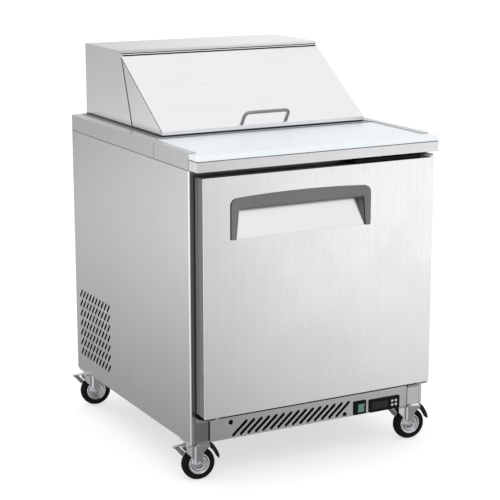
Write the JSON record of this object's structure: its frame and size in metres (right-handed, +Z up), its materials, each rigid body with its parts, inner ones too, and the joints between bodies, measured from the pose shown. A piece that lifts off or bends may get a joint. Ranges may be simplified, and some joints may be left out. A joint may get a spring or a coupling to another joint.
{
  "type": "sandwich prep table",
  "caption": "Refrigerated sandwich prep table on casters: hinged door, cutting board, topping pans under a hinged lid, kick grille with controls.",
  "frame": {"origin": "centre of the footprint on the floor", "axes": "+Z up; -Y is the front, where the door and controls are; +X is to the right seen from the front"},
  "size_m": [0.7676, 0.8, 1.05],
  "materials": {
    "side_steel": "vertical brushed stainless",
    "body_steel": "brushed stainless",
    "counter_steel": "lengthwise brushed stainless",
    "liner_aluminium": "stucco aluminium liner over foam",
    "shelf_wire": "coated wire",
    "black_plastic": "satin black",
    "green_lens": "translucent green",
    "button_grey": "soft grey",
    "cutting_board": "white polyethylene",
    "pan_steel": "polished stainless",
    "hood_steel": "brushed stainless",
    "bar_steel": "satin stainless bar",
    "gasket_rubber": "dark grey magnetic gasket",
    "door_steel": "vertical brushed stainless",
    "handle_plastic": "dark grey moulded",
    "zinc_plate": "zinc plated",
    "compressor_paint": "black enamel",
    "fin_aluminium": "bare fins",
    "fan_plastic": "black",
    "caster_zinc": "zinc plated",
    "caster_wheel": "black rubber tyre on a steel rim",
    "pedal_plastic": "black moulded"
  },
  "bodies": {
    "cabinet": {"left_side_panel": "side_steel", "right_side_panel": "side_steel", "back_panel": "body_steel", "base_pan": "body_steel", "front_frame": "body_steel", "kick_grille": "body_steel", "counter_top": "counter_steel", "left_board_rail": "counter_steel", "right_board_rail": "counter_steel", "board_shelf": "counter_steel", "insulated_liner": "liner_aluminium", "wire_shelf": "shelf_wire", "rocker_bezel": "black_plastic", "temperature_controller": "black_plastic", "food_rail": "pan_steel", "hood_cover": "hood_steel", "lid_hinge_rod": "bar_steel", "hood_gasket": "gasket_rubber", "top_hinge_bracket": "zinc_plate", "bottom_hinge_bracket": "zinc_plate", "door_rest_bracket": "zinc_plate", "compressor": "compressor_paint", "condenser_coil": "fin_aluminium", "evaporator": "fin_aluminium", "caster_plate_front_left": "caster_zinc", "caster_plate_front_right": "caster_zinc", "caster_plate_rear_left": "caster_zinc", "caster_plate_rear_right": "caster_zinc"},
    "board": {"cutting_board": "cutting_board"},
    "lid": {"lid_shell": "hood_steel", "lid_handle": "bar_steel"},
    "door": {"door_shell": "door_steel", "door_core": "liner_aluminium", "handle_pocket": "door_steel", "handle_bezel": "handle_plastic", "door_gasket": "gasket_rubber"},
    "rocker": {"power_rocker": "green_lens"},
    "fan": {"condenser_fan": "fan_plastic"},
    "button_1": {"controller_button_1": "button_grey"},
    "button_2": {"controller_button_2": "button_grey"},
    "button_3": {"controller_button_3": "button_grey"},
    "button_4": {"controller_button_4": "button_grey"},
    "pan_1": {"food_pan_1": "pan_steel"},
    "pan_2": {"food_pan_2": "pan_steel"},
    "pan_3": {"food_pan_3": "pan_steel"},
    "pan_4": {"food_pan_4": "pan_steel"},
    "pan_5": {"food_pan_5": "pan_steel"},
    "pan_6": {"food_pan_6": "pan_steel"},
    "swivel_front_left": {"caster_fork_front_left": "caster_zinc"},
    "wheel_front_left": {"caster_wheel_front_left": "caster_wheel"},
    "pedal_front_left": {"brake_pedal_front_left": "pedal_plastic"},
    "swivel_front_right": {"caster_fork_front_right": "caster_zinc"},
    "wheel_front_right": {"caster_wheel_front_right": "caster_wheel"},
    "pedal_front_right": {"brake_pedal_front_right": "pedal_plastic"},
    "swivel_rear_left": {"caster_fork_rear_left": "caster_zinc"},
    "wheel_rear_left": {"caster_wheel_rear_left": "caster_wheel"},
    "pedal_rear_left": {"brake_pedal_rear_left": "pedal_plastic"},
    "swivel_rear_right": {"caster_fork_rear_right": "caster_zinc"},
    "wheel_rear_right": {"caster_wheel_rear_right": "caster_wheel"},
    "pedal_rear_right": {"brake_pedal_rear_right": "pedal_plastic"}
  },
  "joints": [
    {"name": "door_hinge", "type": "hinge", "parent": "cabinet", "child": "door", "pos_m": [0.325, -0.382, 0.49], "axis": [0, 0, 1], "range_deg": [0, 100]},
    {"name": "lid_hinge", "type": "hinge", "parent": "cabinet", "child": "lid", "pos_m": [0, 0.153, 1.038], "axis": [-1, 0, 0], "range_deg": [0, 110]},
    {"name": "board_lift", "type": "slide", "parent": "cabinet", "child": "board", "axis": [0, 0, 1], "range_m": [0, 0.035]},
    {"name": "pan_1_lift", "type": "slide", "parent": "cabinet", "child": "pan_1", "axis": [0, 0, 1], "range_m": [0, 0.03]},
    {"name": "pan_2_lift", "type": "slide", "parent": "cabinet", "child": "pan_2", "axis": [0, 0, 1], "range_m": [0, 0.03]},
    {"name": "pan_3_lift", "type": "slide", "parent": "cabinet", "child": "pan_3", "axis": [0, 0, 1], "range_m": [0, 0.03]},
    {"name": "pan_4_lift", "type": "slide", "parent": "cabinet", "child": "pan_4", "axis": [0, 0, 1], "range_m": [0, 0.1]},
    {"name": "pan_5_lift", "type": "slide", "parent": "cabinet", "child": "pan_5", "axis": [0, 0, 1], "range_m": [0, 0.1]},
    {"name": "pan_6_lift", "type": "slide", "parent": "cabinet", "child": "pan_6", "axis": [0, 0, 1], "range_m": [0, 0.1]},
    {"name": "rocker_tilt", "type": "hinge", "parent": "cabinet", "child": "rocker", "pos_m": [0.1475, -0.346, 0.13], "axis": [-1, 0, 0], "range_deg": [0, 14]},
    {"name": "button_1_press", "type": "slide", "parent": "cabinet", "child": "button_1", "axis": [0, 1, 0], "range_m": [0, 0.0008], "stiffness_N_per_m": 500},
    {"name": "button_2_press", "type": "slide", "parent": "cabinet", "child": "button_2", "axis": [0, 1, 0], "range_m": [0, 0.0008], "stiffness_N_per_m": 500},
    {"name": "button_3_press", "type": "slide", "parent": "cabinet", "child": "button_3", "axis": [0, 1, 0], "range_m": [0, 0.0008], "stiffness_N_per_m": 500},
    {"name": "button_4_press", "type": "slide", "parent": "cabinet", "child": "button_4", "axis": [0, 1, 0], "range_m": [0, 0.0008], "stiffness_N_per_m": 500},
    {"name": "fan_spin", "type": "hinge", "parent": "cabinet", "child": "fan", "pos_m": [0.15, 0.21, 0.232], "axis": [0, 1, 0], "continuous": true},
    {"name": "swivel_front_left_turn", "type": "hinge", "parent": "cabinet", "child": "swivel_front_left", "pos_m": [-0.322, -0.304, 0.098], "axis": [0, 0, 1], "continuous": true},
    {"name": "wheel_front_left_roll", "type": "hinge", "parent": "swivel_front_left", "child": "wheel_front_left", "pos_m": [-0.31012, -0.30567, 0.0435], "axis": [0.1392, 0.9903, 0], "continuous": true},
    {"name": "pedal_front_left_press", "type": "hinge", "parent": "swivel_front_left", "child": "pedal_front_left", "pos_m": [-0.28833, -0.30873, 0.092], "axis": [0.1392, 0.9903, 0], "range_deg": [0, 8]},
    {"name": "swivel_front_right_turn", "type": "hinge", "parent": "cabinet", "child": "swivel_front_right", "pos_m": [0.322, -0.304, 0.098], "axis": [0, 0, 1], "continuous": true},
    {"name": "wheel_front_right_roll", "type": "hinge", "parent": "swivel_front_right", "child": "wheel_front_right", "pos_m": [0.33388, -0.30567, 0.0435], "axis": [0.1392, 0.9903, 0], "continuous": true},
    {"name": "pedal_front_right_press", "type": "hinge", "parent": "swivel_front_right", "child": "pedal_front_right", "pos_m": [0.35567, -0.30873, 0.092], "axis": [0.1392, 0.9903, 0], "range_deg": [0, 8]},
    {"name": "swivel_rear_left_turn", "type": "hinge", "parent": "cabinet", "child": "swivel_rear_left", "pos_m": [-0.322, 0.37, 0.098], "axis": [0, 0, 1], "continuous": true},
    {"name": "wheel_rear_left_roll", "type": "hinge", "parent": "swivel_rear_left", "child": "wheel_rear_left", "pos_m": [-0.31012, 0.36833, 0.0435], "axis": [0.1392, 0.9903, 0], "continuous": true},
    {"name": "pedal_rear_left_press", "type": "hinge", "parent": "swivel_rear_left", "child": "pedal_rear_left", "pos_m": [-0.28833, 0.36527, 0.092], "axis": [0.1392, 0.9903, 0], "range_deg": [0, 8]},
    {"name": "swivel_rear_right_turn", "type": "hinge", "parent": "cabinet", "child": "swivel_rear_right", "pos_m": [0.322, 0.37, 0.098], "axis": [0, 0, 1], "continuous": true},
    {"name": "wheel_rear_right_roll", "type": "hinge", "parent": "swivel_rear_right", "child": "wheel_rear_right", "pos_m": [0.33388, 0.36833, 0.0435], "axis": [0.1392, 0.9903, 0], "continuous": true},
    {"name": "pedal_rear_right_press", "type": "hinge", "parent": "swivel_rear_right", "child": "pedal_rear_right", "pos_m": [0.35567, 0.36527, 0.092], "axis": [0.1392, 0.9903, 0], "range_deg": [0, 8]}
  ]
}
